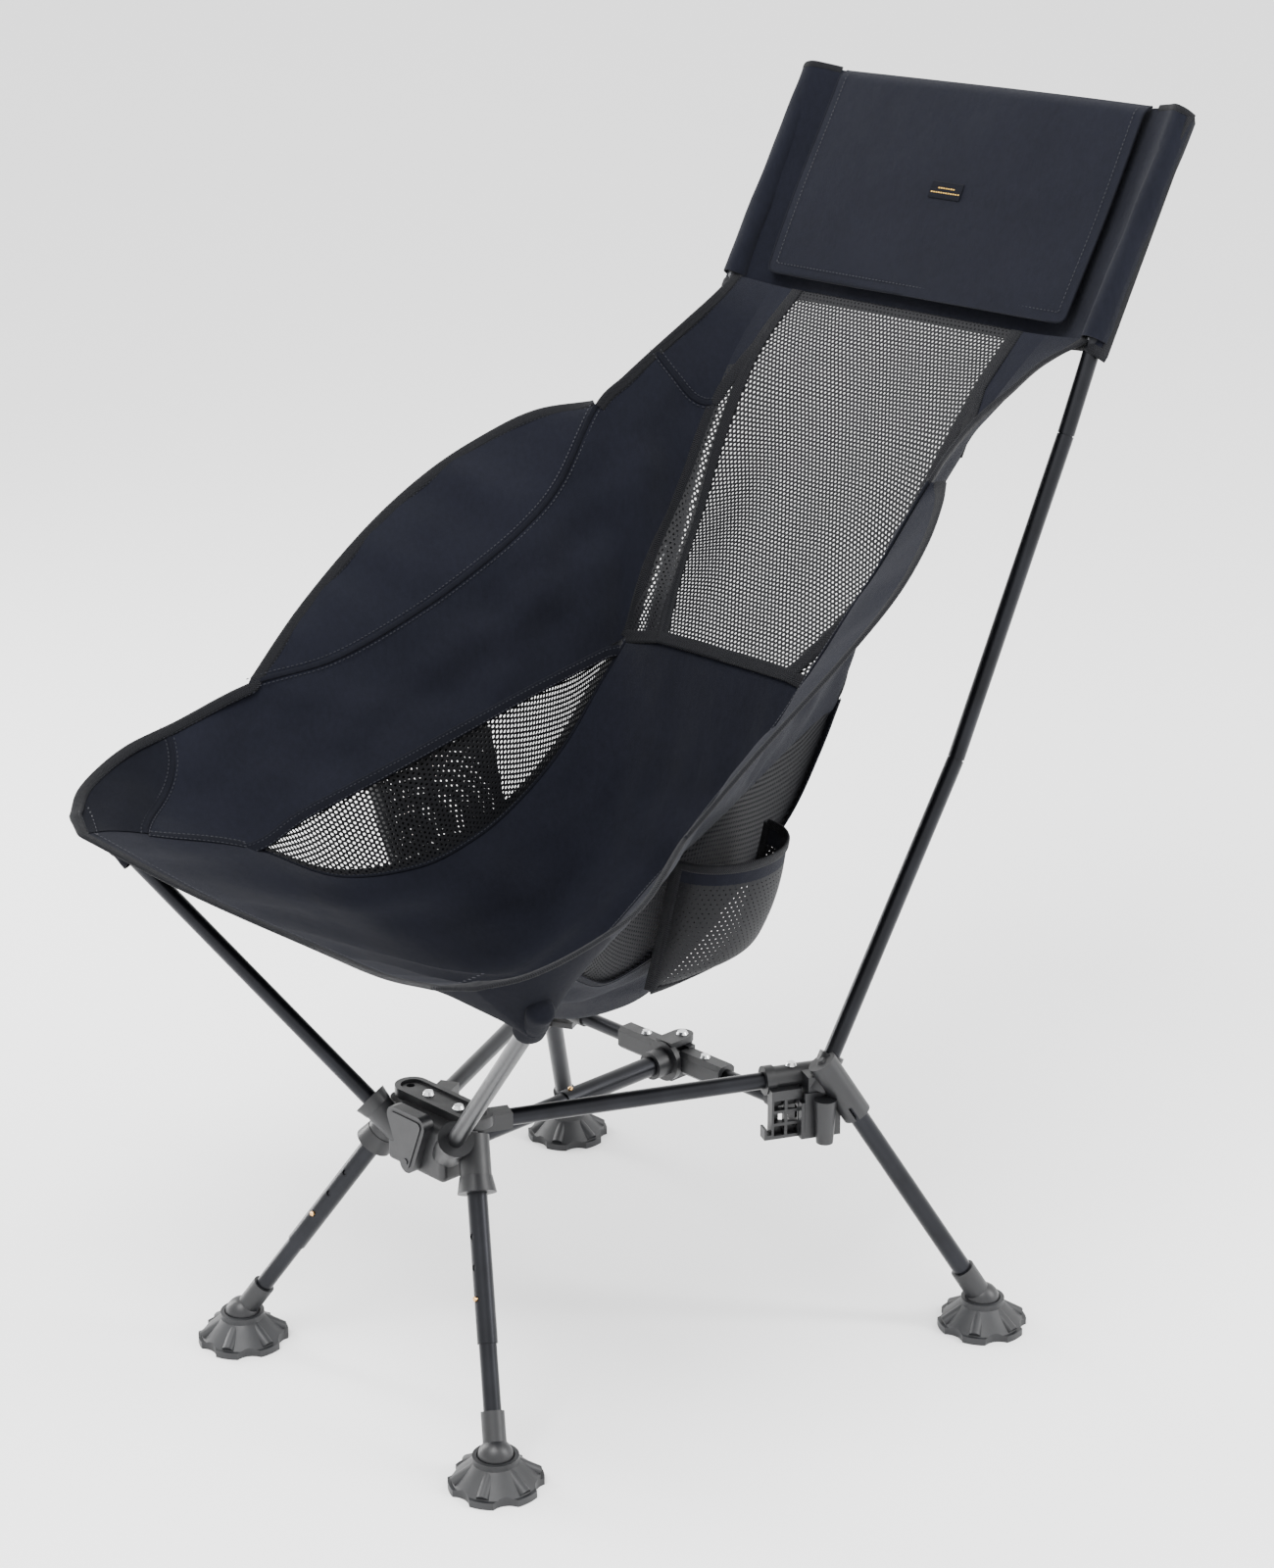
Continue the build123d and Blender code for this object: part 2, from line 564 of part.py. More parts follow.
seat = full_width(SEAT_ROWS)
seat_normals = grid_normals([[Vector(*p) for p in row] for row in seat])
back = full_width(BACK_ROWS)
back_normals = grid_normals([[Vector(*p) for p in row] for row in back])
put("seat_panel", panel(seat, seat_normals, 2, 6))
put_both("seat_nets", panel(seat, seat_normals, 6, 7))
put_both("side_panels", panel(seat, seat_normals, 7, 8))
put("back_net", panel(back, back_normals, 2, 6))
put_both("back_side_panels", panel(back, back_normals, 6, 8))
put_both("wings", sheet(WING_ROWS))
put_both("cup_pockets", cup_pocket())
put_both("pole_pockets", Compound(children=[tip_pocket().solid(), pole_sleeve().solid()]))
put("head_panel", sheet(head_rows(-HEAD_GAP, 4, 190, 187)))
put("head_flap", sheet(head_rows(HEAD_GAP + CLOTH, 1, FLAP_LENGTH, 164)))
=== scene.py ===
"""Looks of the folding high-back camp chair: sewn sling, nets, tapes and stitching on a tent-pole frame.

Points are written in millimetres in the frame of part.py: +Z up, the sitter faces -Y, depths start
at the front feet. They are moved by ORIGIN_Y and scaled to metres when a mesh is made. Every sewn
piece is written once, for the side with +X, and mirrored.
"""

import math

import bpy
import numpy as np
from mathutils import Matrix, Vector


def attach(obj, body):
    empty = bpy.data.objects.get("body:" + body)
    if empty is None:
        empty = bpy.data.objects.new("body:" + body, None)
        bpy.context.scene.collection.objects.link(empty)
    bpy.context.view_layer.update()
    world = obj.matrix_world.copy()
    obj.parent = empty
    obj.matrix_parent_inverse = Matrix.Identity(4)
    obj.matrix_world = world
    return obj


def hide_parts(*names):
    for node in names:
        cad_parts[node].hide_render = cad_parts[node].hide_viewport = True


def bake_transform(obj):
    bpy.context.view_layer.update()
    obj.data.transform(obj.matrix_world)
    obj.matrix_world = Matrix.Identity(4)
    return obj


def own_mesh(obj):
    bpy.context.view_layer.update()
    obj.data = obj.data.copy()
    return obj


ORIGIN_Y = 316.6
MM = 0.001
CLOTH = 1.1          # thickness of the woven cloth
NET_THICK = 0.7

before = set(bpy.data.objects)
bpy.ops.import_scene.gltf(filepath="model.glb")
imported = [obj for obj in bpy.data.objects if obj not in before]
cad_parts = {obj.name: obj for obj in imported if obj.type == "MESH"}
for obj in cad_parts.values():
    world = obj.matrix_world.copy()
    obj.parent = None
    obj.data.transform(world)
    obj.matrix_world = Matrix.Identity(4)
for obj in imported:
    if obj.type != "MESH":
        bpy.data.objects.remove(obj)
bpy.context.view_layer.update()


# ---- materials ----

class Shader:
    """Short hand for building one node material."""

    def __init__(self, name):
        self.material = bpy.data.materials.new(name)
        self.material.use_nodes = True
        self.nodes = self.material.node_tree.nodes
        self.links = self.material.node_tree.links
        self.surface = self.nodes["Principled BSDF"]

    def set(self, **values):
        for name, value in values.items():
            self.surface.inputs[name.replace("_", " ")].default_value = value
        return self

    def node(self, kind, **values):
        made = self.nodes.new(kind)
        for name, value in values.items():
            setattr(made, name, value)
        return made

    def link(self, source, target):
        self.links.new(source, target)

    def math(self, operation, first, second=None):
        """A Math node; each argument is a socket or a number."""
        made = self.node("ShaderNodeMath", operation=operation)
        for socket, value in zip(made.inputs, (first, second)):
            if value is None:
                continue
            if isinstance(value, (int, float)):
                socket.default_value = value
            else:
                self.link(value, socket)
        return made.outputs[0]

    def noise(self, scale, detail=3.0, stretch=None):
        """Noise in object space, in cycles per metre."""
        made = self.node("ShaderNodeTexNoise")
        made.inputs["Scale"].default_value = scale
        made.inputs["Detail"].default_value = detail
        place = self.node("ShaderNodeTexCoord").outputs["Object"]
        if stretch:
            squeeze = self.node("ShaderNodeMapping")
            squeeze.inputs["Scale"].default_value = stretch
            self.link(place, squeeze.inputs["Vector"])
            place = squeeze.outputs["Vector"]
        self.link(place, made.inputs["Vector"])
        return made.outputs["Fac"]

    def across_and_along(self):
        """The mesh's own UV in metres, as two sockets."""
        split = self.node("ShaderNodeSeparateXYZ")
        self.link(self.node("ShaderNodeTexCoord").outputs["UV"], split.inputs[0])
        return split.outputs[0], split.outputs[1]

    def ramp(self, factor, dark, light, low=0.3, high=0.7):
        made = self.node("ShaderNodeValToRGB")
        for stop, place, colour in zip(made.color_ramp.elements, (low, high), (dark, light)):
            stop.position = place
            stop.color = (*colour, 1)
        self.link(factor, made.inputs["Fac"])
        return made.outputs["Color"]

    def bump(self, *layers):
        """Stacks (height socket, strength, distance in metres)."""
        normal = None
        for height, strength, distance in layers:
            made = self.node("ShaderNodeBump")
            made.inputs["Strength"].default_value = strength
            made.inputs["Distance"].default_value = distance
            self.link(height, made.inputs["Height"])
            if normal:
                self.link(normal, made.inputs["Normal"])
            normal = made.outputs["Normal"]
        self.link(normal, self.surface.inputs["Normal"])
        return self

    def colour(self, socket):
        self.link(socket, self.surface.inputs["Base Color"])
        return self

    def roughness(self, factor, low, high):
        spread = self.math("MULTIPLY_ADD", factor, high - low)
        spread.node.inputs[2].default_value = low
        self.link(spread, self.surface.inputs["Roughness"])
        return self


def woven(name, dark, light, pitch, sheen):
    """Plain-weave polyester with faint threads and broad shade changes."""
    made = Shader(name).set(Sheen_Weight=sheen, Sheen_Roughness=0.5, Specular_IOR_Level=0.06)
    across, along = made.across_and_along()
    warp = made.math("SINE", made.math("MULTIPLY", across, 2 * math.pi / pitch))
    weft = made.math("SINE", made.math("MULTIPLY", along, 2 * math.pi / pitch))
    threads = made.math("MULTIPLY", warp, weft)
    slub = made.noise(260, 4, (1.0, 1.0, 0.25))
    made.colour(made.ramp(made.math("ADD", made.math("MULTIPLY", made.noise(14, 6), 0.45),
                                    made.math("MULTIPLY", slub, 0.55)), dark, light, 0.25, 0.75))
    made.roughness(slub, 0.8, 0.95)
    made.bump((threads, 0.5, 0.00014), (slub, 0.35, 0.0004), (made.noise(30, 4), 0.35, 0.004))
    return made.material


def herringbone(name, dark, light, width, pitch):
    """Tape woven in zigzag ribs: width is one zig, pitch is one rib."""
    made = Shader(name).set(Specular_IOR_Level=0.15, Sheen_Weight=0.02, Sheen_Roughness=0.4)
    across, along = made.across_and_along()
    zig = made.math("PINGPONG", across, width)
    ribs = made.math("SINE", made.math("MULTIPLY", made.math("ADD", along, zig), 2 * math.pi / pitch))
    ribs = made.math("MULTIPLY_ADD", ribs, 0.5)
    ribs.node.inputs[2].default_value = 0.5
    made.colour(made.ramp(ribs, dark, light, 0.1, 0.9))
    made.roughness(made.noise(300, 3), 0.6, 0.85)
    made.bump((ribs, 0.8, 0.0007), (made.noise(500, 2), 0.3, 0.0002))
    return made.material


def yarn(name, colour, roughness):
    """Fine coated yarn, for the nets and the stitching."""
    made = Shader(name).set(Specular_IOR_Level=0.2)
    fleck = made.noise(700, 3)
    made.colour(made.ramp(fleck, tuple(0.7 * c for c in colour), tuple(1.25 * c for c in colour)))
    made.roughness(fleck, roughness - 0.1, roughness + 0.1)
    made.bump((fleck, 0.3, 0.0002))
    return made.material


def anodised(name):
    """Satin black anodised aluminium, drawn along the tube, with faint handling marks."""
    made = Shader(name).set(Metallic=0.85, Coat_Weight=0.15, Coat_Roughness=0.3)
    cloud = made.noise(30, 6)
    made.colour(made.ramp(cloud, (0.0060, 0.0064, 0.0082), (0.0108, 0.0115, 0.0148)))
    made.roughness(made.noise(160, 4), 0.3, 0.42)
    made.bump((made.noise(900, 2), 0.08, 0.00006))
    return made.material


def moulded(name, dark, light, low, high, grain):
    """Moulded plastic or rubber with a fine spark-eroded grain and paler rubbed spots."""
    made = Shader(name).set(Specular_IOR_Level=0.45)
    rubbed = made.noise(24, 6)
    made.colour(made.ramp(rubbed, dark, light, 0.35, 0.75))
    made.roughness(made.noise(90, 4), low, high)
    made.bump((made.noise(grain, 2), 0.22, 0.00025), (made.noise(45, 3), 0.1, 0.0012))
    return made.material


def bright(name, colour, roughness):
    """Bare metal with turning marks."""
    made = Shader(name).set(Metallic=1.0)
    made.colour(made.ramp(made.noise(220, 4), tuple(0.75 * c for c in colour), colour))
    made.roughness(made.noise(400, 3), roughness, roughness + 0.18)
    made.bump((made.noise(1200, 2), 0.15, 0.0001))
    return made.material


CANVAS = woven("canvas", (0.0038, 0.0043, 0.0073), (0.0068, 0.0075, 0.0122), 0.0009, 0.04)
CANVAS_DARK = woven("canvas_reinforced", (0.0030, 0.0034, 0.0054), (0.0053, 0.0058, 0.0090), 0.0011, 0.02)
TAPE = herringbone("herringbone_tape", (0.0014, 0.0015, 0.0021), (0.0052, 0.0056, 0.0078), 0.0035, 0.0021)
BINDING = herringbone("ribbed_binding", (0.0017, 0.0018, 0.0025), (0.0060, 0.0064, 0.0088), 0.0026, 0.0017)
NET = yarn("net_yarn", (0.003, 0.0032, 0.0044), 0.65)
THREAD = yarn("sewing_thread", (0.0150, 0.0158, 0.0205), 0.5)
GOLD = yarn("gold_thread", (0.55, 0.34, 0.08), 0.4)
TUBE = anodised("black_anodised")
HUB = moulded("black_nylon", (0.0045, 0.0047, 0.0056), (0.009, 0.0094, 0.011), 0.34, 0.52, 1500)
RUBBER = moulded("black_rubber", (0.0060, 0.0064, 0.0074), (0.0125, 0.0132, 0.015), 0.42, 0.62, 900)
STEEL = bright("rivet_steel", (0.78, 0.79, 0.8), 0.16)
BRASS = bright("button_brass", (0.85, 0.5, 0.2), 0.2)


# ---- smooth surfaces ----

def cubic(a, b, slope_a, slope_b, t):
    """Hermite blend from a to b."""
    return ((2 * t**3 - 3 * t**2 + 1) * a + (t**3 - 2 * t**2 + t) * slope_a
            + (3 * t**2 - 2 * t**3) * b + (t**3 - t**2) * slope_b)


def smooth_line(points, at):
    """Smooth curve through points; at counts points from 0."""
    points, at = np.asarray(points, float), np.asarray(at, float)
    slope = np.gradient(points, axis=0)
    i = np.clip(at.astype(int), 0, len(points) - 2)
    t = (at - i).reshape(-1, *[1] * (points.ndim - 1))
    return cubic(points[i], points[i + 1], slope[i], slope[i + 1], t)


class Patch:
    """Smooth surface through rows of points. u runs across from 0 to 1, v counts rows.

    crown lifts the middle of the surface along its rows, and waves are folds: each is a height, the
    cycles per millimetre along X, Y and Z, and a phase.
    """

    def __init__(self, rows, centred=False, crown=(0.0, 0.0), waves=()):
        points = np.array(rows, float)
        gaps = np.linalg.norm(np.diff(points, axis=1), axis=2).mean(0)
        self.width = gaps.sum()
        self.knots = np.concatenate([[0], np.cumsum(gaps)]) / self.width
        if centred:
            mirrored = points[:, 1:2] * (-1, 1, 1)
            points = np.concatenate([mirrored, points], axis=1)
            self.knots = np.concatenate([[-self.knots[1]], self.knots])
        self.points, self.crown, self.waves = points, crown, waves
        self.rows = len(points)
        self.centred = centred

    def bare(self, u, v):
        values = smooth_line(self.points, v)
        slope = np.gradient(values, self.knots, axis=1)
        i = np.clip(np.searchsorted(self.knots, u, side="right") - 1, 0, len(self.knots) - 2)
        k = np.arange(len(u))
        gap = (self.knots[i + 1] - self.knots[i])[:, None]
        t = (u - self.knots[i])[:, None] / gap
        return cubic(values[k, i], values[k, i + 1], slope[k, i] * gap, slope[k, i + 1] * gap, t)

    def normal(self, u, v):
        """Unit normals, towards the sitter."""
        e, last = 0.01, self.rows - 1
        low_u = self.knots[0] if self.centred else 0.0
        du = self.bare(np.minimum(u + e, 1), v) - self.bare(np.maximum(u - e, low_u), v)
        dv = self.bare(u, np.minimum(v + e, last)) - self.bare(u, np.maximum(v - e, 0))
        n = np.cross(du, dv)
        return n / np.maximum(np.linalg.norm(n, axis=1, keepdims=True), 1e-9)

    def at(self, u, v):
        """Points with the crown and the folds added."""
        u, v = np.broadcast_arrays(np.asarray(u, float), np.asarray(v, float))
        u, v = u.ravel(), v.ravel()
        points = self.bare(u, v)
        edge_u = 1 - u**6 if self.centred else 4 * u * (1 - u)
        edge_v = np.clip(4 * v * (self.rows - 1 - v) / (self.rows - 1) ** 2, 0, 1)
        crown_rows = np.linspace(0, self.rows - 1, len(self.crown))
        lift = np.interp(v, crown_rows, self.crown) * edge_u * np.sqrt(edge_v)
        for size, way, phase in self.waves:
            turns = points * np.array(way) * 2 * math.pi
            fold = np.cos(turns[:, 0]) * np.sin(turns[:, 1] + turns[:, 2] + phase)
            lift = lift + size * fold * edge_u * edge_v
        return points + self.normal(u, v) * lift[:, None]


# ---- meshes ----

def new_object(name, side, points, faces, uvs, material, thickness=0.0, smooth=True):
    """Mesh from points in millimetres on the +X side; side -1 mirrors it."""
    points = np.asarray(points, float) * (side, 1, 1)
    placed = (points - (0, ORIGIN_Y, 0)) * MM
    if side < 0:
        faces = [tuple(reversed(f)) for f in faces]
    mesh = bpy.data.meshes.new(name)
    mesh.from_pydata(placed.tolist(), [], [tuple(int(k) for k in f) for f in faces])
    if uvs is not None:
        layer = mesh.uv_layers.new(name="UVMap")
        corners = np.zeros(len(mesh.loops), int)
        mesh.loops.foreach_get("vertex_index", corners)
        layer.data.foreach_set("uv", (np.asarray(uvs)[corners] * MM).ravel())
    mesh.validate()
    mesh.polygons.foreach_set("use_smooth", [smooth] * len(mesh.polygons))
    sharpen_rims(mesh)
    mesh.materials.append(material)
    made = bpy.data.objects.new(name, mesh)
    bpy.context.scene.collection.objects.link(made)
    if thickness:
        solid = made.modifiers.new("thickness", "SOLIDIFY")
        solid.thickness = thickness * MM
        solid.offset = -1
    return made


def sharpen_rims(mesh):
    """Sharp open edges and tube ends, so that a thin rim doesn't tilt the shading beside it."""
    edges = np.zeros(len(mesh.loops), int)
    mesh.loops.foreach_get("edge_index", edges)
    sharp = np.bincount(edges, minlength=len(mesh.edges)) == 1
    for polygon in mesh.polygons:
        if polygon.loop_total > 6:
            sharp[edges[polygon.loop_start:polygon.loop_start + polygon.loop_total]] = True
    mesh.edges.foreach_set("use_edge_sharp", sharp)


def grid_faces(rows, columns):
    """Quads of a grid whose points are listed row by row."""
    return [(i * columns + j, i * columns + j + 1, (i + 1) * columns + j + 1, (i + 1) * columns + j)
            for i in range(rows - 1) for j in range(columns - 1)]


def patch_grid(patch, us, vs):
    """Points, faces and UVs of a patch over a grid."""
    u, v = np.meshgrid(us, vs)
    points = patch.at(u, v)
    middle = patch.at(np.full(len(vs), 0.5), vs)
    along = np.concatenate([[0], np.cumsum(np.linalg.norm(np.diff(middle, axis=0), axis=1))])
    uvs = np.stack([u * patch.width, np.repeat(along[:, None], len(us), axis=1)], axis=2)
    return points, grid_faces(len(vs), len(us)), uvs.reshape(-1, 2)


def joined(*parts):
    """One set of points, faces and UVs out of several."""
    points, faces, uvs, start = [], [], [], 0
    for p, f, t in parts:
        points.append(p)
        uvs.append(t)
        faces += [tuple(k + start for k in face) for face in f]
        start += len(p)
    return np.concatenate(points), faces, np.concatenate(uvs)


def resampled(points, step, *more):
    """Points about step apart along a line, and anything that goes with them."""
    points = np.asarray(points, float)
    along = np.concatenate([[0], np.cumsum(np.linalg.norm(np.diff(points, axis=0), axis=1))])
    at = np.linspace(0, along[-1], max(2, int(round(along[-1] / step)) + 1))
    return [np.stack([np.interp(at, along, p[:, k]) for k in range(3)], axis=1)
            for p in (points, *map(np.asarray, more))]


def line_frame(points, normals):
    """Along, sideways and up vectors of a line that lies on a surface."""
    along = np.gradient(points, axis=0)
    along /= np.maximum(np.linalg.norm(along, axis=1, keepdims=True), 1e-9)
    aside = np.cross(along, normals)
    aside /= np.maximum(np.linalg.norm(aside, axis=1, keepdims=True), 1e-9)
    return along, aside, np.cross(aside, along)


def ribbon(points, normals, half_width, half_thick, shift=0.0, lift=0.0, step=6.0, ring=10):
    """Closed flat tube along a line on a surface. shift moves it sideways, lift along the normal."""
    points, normals = resampled(points, step, normals)
    _, aside, up = line_frame(points, normals)
    turn = np.arange(ring) * 2 * math.pi / ring
    flat = np.sign(np.cos(turn)) * np.abs(np.cos(turn)) ** 0.45 * half_width
    high = np.sin(turn) * half_thick
    rows = (points[:, None] + aside[:, None] * (shift + flat)[None, :, None]
            + up[:, None] * (lift + high)[None, :, None])
    count = len(points)
    faces = [(i * ring + j, (i + 1) * ring + j, (i + 1) * ring + (j + 1) % ring, i * ring + (j + 1) % ring)
             for i in range(count - 1) for j in range(ring)]
    faces.append(tuple(range(ring)))
    faces.append(tuple(reversed(range((count - 1) * ring, count * ring))))
    along = np.arange(count) * step
    uvs = np.stack(np.broadcast_arrays(flat[None, :], along[:, None]), axis=2).reshape(-1, 2)
    return rows.reshape(-1, 3), faces, uvs


def stitches(points, normals, shift=0.0, lift=0.5, pitch=3.8, length=2.7, width=0.95):
    """A row of short raised threads."""
    points, normals = resampled(points, pitch, normals)
    along, aside, up = line_frame(points, normals)
    centre = points + aside * shift + up * lift
    shape = [(-1, 0, 0), (-0.55, 1, 0.2), (-0.55, -1, 0.2), (0.55, 1, 0.2), (0.55, -1, 0.2), (1, 0, 0),
             (-0.5, 0, 1), (0.5, 0, 1)]
    quads = [(0, 2, 6), (0, 6, 1), (1, 6, 7, 3), (2, 4, 7, 6), (3, 7, 5), (4, 5, 7), (0, 1, 3, 5, 4, 2)]
    corners = np.concatenate([
        centre[:, None] + along[:, None] * (a * length / 2) + aside[:, None] * (b * width / 2)
        + up[:, None] * (c * width / 2) for a, b, c in shape], axis=1)
    faces = [tuple(8 * i + k for k in q) for i in range(len(points)) for q in quads]
    return corners.reshape(-1, 3), faces, np.zeros((8 * len(points), 2))


def net(patch, pitch, web, v_from, v_to):
    """Knitted net: hexagonal holes laid out evenly over a patch and cut at its edges."""
    us, vs = np.linspace(0, 1, 61), np.linspace(v_from, v_to, 161)
    u, v = np.meshgrid(us, vs)
    fine = patch.at(u, v).reshape(len(vs), len(us), 3)
    across = np.concatenate([np.zeros((len(vs), 1)),
                             np.cumsum(np.linalg.norm(np.diff(fine, axis=1), axis=2), axis=1)], axis=1)
    middle = fine[:, 0]
    along = np.concatenate([[0], np.cumsum(np.linalg.norm(np.diff(middle, axis=0), axis=1))])
    row_step, hole = pitch * math.sqrt(3) / 2, 1 - web / pitch
    columns, rows = int(across.max() / pitch) + 3, int(along[-1] / row_step) + 3
    turn = np.radians(30 + 60 * np.arange(6))
    ring = np.stack([np.cos(turn), np.sin(turn)], axis=1) * pitch / math.sqrt(3)
    cells = []
    for r in range(rows):
        t = r * row_step
        limit = np.interp(t, along, across[:, -1])
        for c in range(columns):
            s = (c + 0.5 * (r % 2)) * pitch
            if s < limit + 0.4 * pitch and t < along[-1] + 0.4 * row_step:
                cells.append((s, t))
    cells = np.array(cells)
    outer = cells[:, None] + ring[None]
    inner = cells[:, None] + ring[None] * hole
    flat = np.concatenate([outer, inner], axis=1).reshape(-1, 2)
    flat, same = np.unique(np.round(flat, 3), axis=0, return_inverse=True)
    same = same.ravel()
    t = np.clip(flat[:, 1], 0, along[-1])
    row = np.interp(t, along, np.arange(len(vs)))
    low = np.minimum(row.astype(int), len(vs) - 2)
    share = row - low
    at_u = np.empty(len(flat))
    for k in range(len(flat)):
        reach = across[low[k]] * (1 - share[k]) + across[low[k] + 1] * share[k]
        at_u[k] = np.interp(flat[k, 0], reach, us)
    at_v = v_from + (v_to - v_from) * row / (len(vs) - 1)
    points = patch.at(at_u, at_v)
    faces = []
    for n in range(len(cells)):
        ids = same[12 * n:12 * n + 12]
        for k in range(6):
            m = (k + 1) % 6
            quad = (ids[k], ids[m], ids[6 + m], ids[6 + k])
            corner = points[list(quad)]
            area = np.linalg.norm(np.cross(corner[2] - corner[0], corner[3] - corner[1])) / 2
            if len(set(quad)) == 4 and area > 0.05:
                faces.append(quad)
    return points, faces, flat


# ---- the cut pieces ----

SEAT_ROWS = [
    [(0, -33, 404), (110, -62, 424), (209, -95, 454), (213, -95, 455), (238, -83, 458)],
    [(0, -8, 393), (103, -27, 408), (217, -60, 446), (220, -58, 447), (266, -52, 469)],
    [(0, 20, 381), (95, 10, 391), (212, -20, 434), (215, -18, 435), (279, -2, 485)],
    [(0, 75, 348), (85, 70, 361), (187, 46, 415), (191, 48, 417), (273, 48, 498)],
    [(0, 130, 317), (80, 126, 332), (157, 112, 379), (180, 100, 433), (251, 106, 522)],
    [(0, 185, 299), (77, 184, 313), (137, 182, 373), (163, 170, 456), (224, 170, 535)],
    [(0, 240, 299), (75, 240, 313), (130, 236, 384), (152, 240, 477), (207, 242, 562)],
    [(0, 295, 326), (73, 296, 339), (130, 288, 405), (141, 300, 496), (193, 298, 592)],
    [(0, 345, 386), (72, 346, 396), (128, 340, 443), (131, 350, 511), (183, 348, 623)],
    [(0, 378, 460), (72, 379, 464), (124, 378, 490), (125, 383, 520), (181, 387, 655)],
    [(0, 400, 539), (73, 401, 538), (117, 405.5, 528), (121, 406, 527), (186, 434, 712)],
]
BACK_ROWS = [
    [(0, 400, 539), (36, 400.5, 538.8), (73, 401, 538), (121, 406, 527), (186, 434, 712)],
    [(0, 441, 590), (48, 441, 590), (96, 443, 581), (119, 430, 582), (182, 464, 733)],
    [(0, 482, 640), (54, 481, 640), (108, 478, 623), (127, 473, 633), (180, 497, 752)],
    [(0, 523, 690), (58, 521, 690), (117, 515, 685), (134, 510, 687), (182, 536, 770)],
    [(0, 566, 742), (60, 563, 745), (123, 562, 750), (143, 556, 745), (185, 574, 787)],
    [(0, 610, 796), (60, 610, 796), (122, 613, 795), (152, 613, 796), (197, 612, 799)],
]
WING_ROWS = [
    [(251, 106, 522), (252, 106, 523)],
    [(224, 170, 535), (261, 169, 573)],
    [(207, 242, 562), (267, 246, 624)],
    [(193, 298, 592), (263, 310, 661)],
    [(183, 348, 623), (247, 362, 688)],
    [(181, 387, 655), (226, 402, 706)],
    [(186, 434, 712), (197, 441, 712)],
]
HEAD_WAY = np.array([0, 94.1, 170.6]) / 194.83
HEAD_FRONT = np.array([0, -HEAD_WAY[2], HEAD_WAY[1]])
FLAP_HINGE = np.array([0, 719.0, 969.3])
FLAP_LENGTH = 192.0
POLE_BEND = np.array([199, 618.6, 804.0])
POLE_TIP = np.array([201, 712, 960.0])
SEAT_POLE_ROOT = np.array([16.9, 74, 200.0])
SEAT_POLE_WAY = np.array([203.9, -97, 200]) / 301.75
SEAT_POLE_LENGTH = 354.0
WINDOW_START, WING_START, LAST_SEAT_ROW, TOP_ROW = 3.0, 4.0, 10.0, 15.0
GUSSET_END = 3.35

outer_rows = [[row[2] if i < 4 else row[3], row[4]] for i, row in enumerate(SEAT_ROWS)]
outer_rows += [[row[3], row[4]] for row in BACK_ROWS[1:]]

seat = Patch([row[:3] for row in SEAT_ROWS], centred=True,
             waves=[(4.4, (0.0150, 0.0004, 0.0016), 1.2), (2.4, (0.0265, 0.002, -0.001), 1.7),
                    (2.2, (0.004, 0.010, 0.012), 0.2), (1.0, (0.033, 0.006, 0.009), 2.6)])
window = Patch([row[2:4] for row in SEAT_ROWS])
outer = Patch(outer_rows, crown=(0, -3, -5, -5, -3, 1, 3, 6, 6, 4, 0),
              waves=[(4.2, (0.002, 0.0085, 0.0045), 0.6), (3.0, (0.004, 0.015, -0.008), 2.1),
                     (1.8, (0.006, -0.008, 0.021), 0.9), (1.0, (0.02, 0.018, 0.012), 0.3)])
wing = Patch(WING_ROWS, crown=(3.0, 5.0, 3.0),
             waves=[(3.0, (0.0, 0.010, 0.004), 1.1), (1.6, (0.004, 0.017, 0.01), 0.3)])
back = Patch([row[:3] for row in BACK_ROWS], centred=True, crown=(-3.0, -3.0))
gusset = Patch([row[2:4] for row in BACK_ROWS])


def head_point(x, down, front):
    """A point of the head panel, down from the flap's hinge and towards the sitter."""
    base = FLAP_HINGE - HEAD_WAY * down + HEAD_FRONT * front
    return (x, base[1], base[2])


# Each row's distance down from the hinge, and how much further down its middle lies.
HEAD_DOWN = [(204, 0), (150, 0), (100, 0), (50, 0), (0, 0.6)]

head = Patch([[head_point(0, d + dip, -4), head_point(80, d + dip, -5), head_point(165, d + dip, -3),
               head_point(186, d + 1, 5), head_point(199, d + 3, 12.6), head_point(208, d + 5, 9.5),
               head_point(210.5, d + 6, 1)] for d, dip in HEAD_DOWN],
             centred=True, waves=[(1.2, (0.011, 0.003, 0.004), 0.7), (0.8, (0.004, 0.01, 0.012), 0.1)])


# ---- baking the sling pieces, and lines along the patches ----


def sling(piece):
    """Bakes the piece's placement into its mesh and reads its points back.
    """
    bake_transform(piece)
    co = np.zeros(len(piece.data.vertices) * 3, np.float32)
    piece.data.vertices.foreach_get("co", co)
    return piece


def side_name(side):
    return "left" if side > 0 else "right"


def on_patch(patch, us, vs):
    """Points and normals along a line on a patch."""
    us, vs = np.broadcast_arrays(np.asarray(us, float), np.asarray(vs, float))
    return patch.at(us, vs), patch.normal(us, vs)


def chained(*lines):
    """One line out of several that meet."""
    points = np.concatenate([line[0] for line in lines])
    normals = np.concatenate([line[1] for line in lines])
    keep = np.concatenate([[True], np.linalg.norm(np.diff(points, axis=0), axis=1) > 0.5])
    return points[keep], normals[keep]


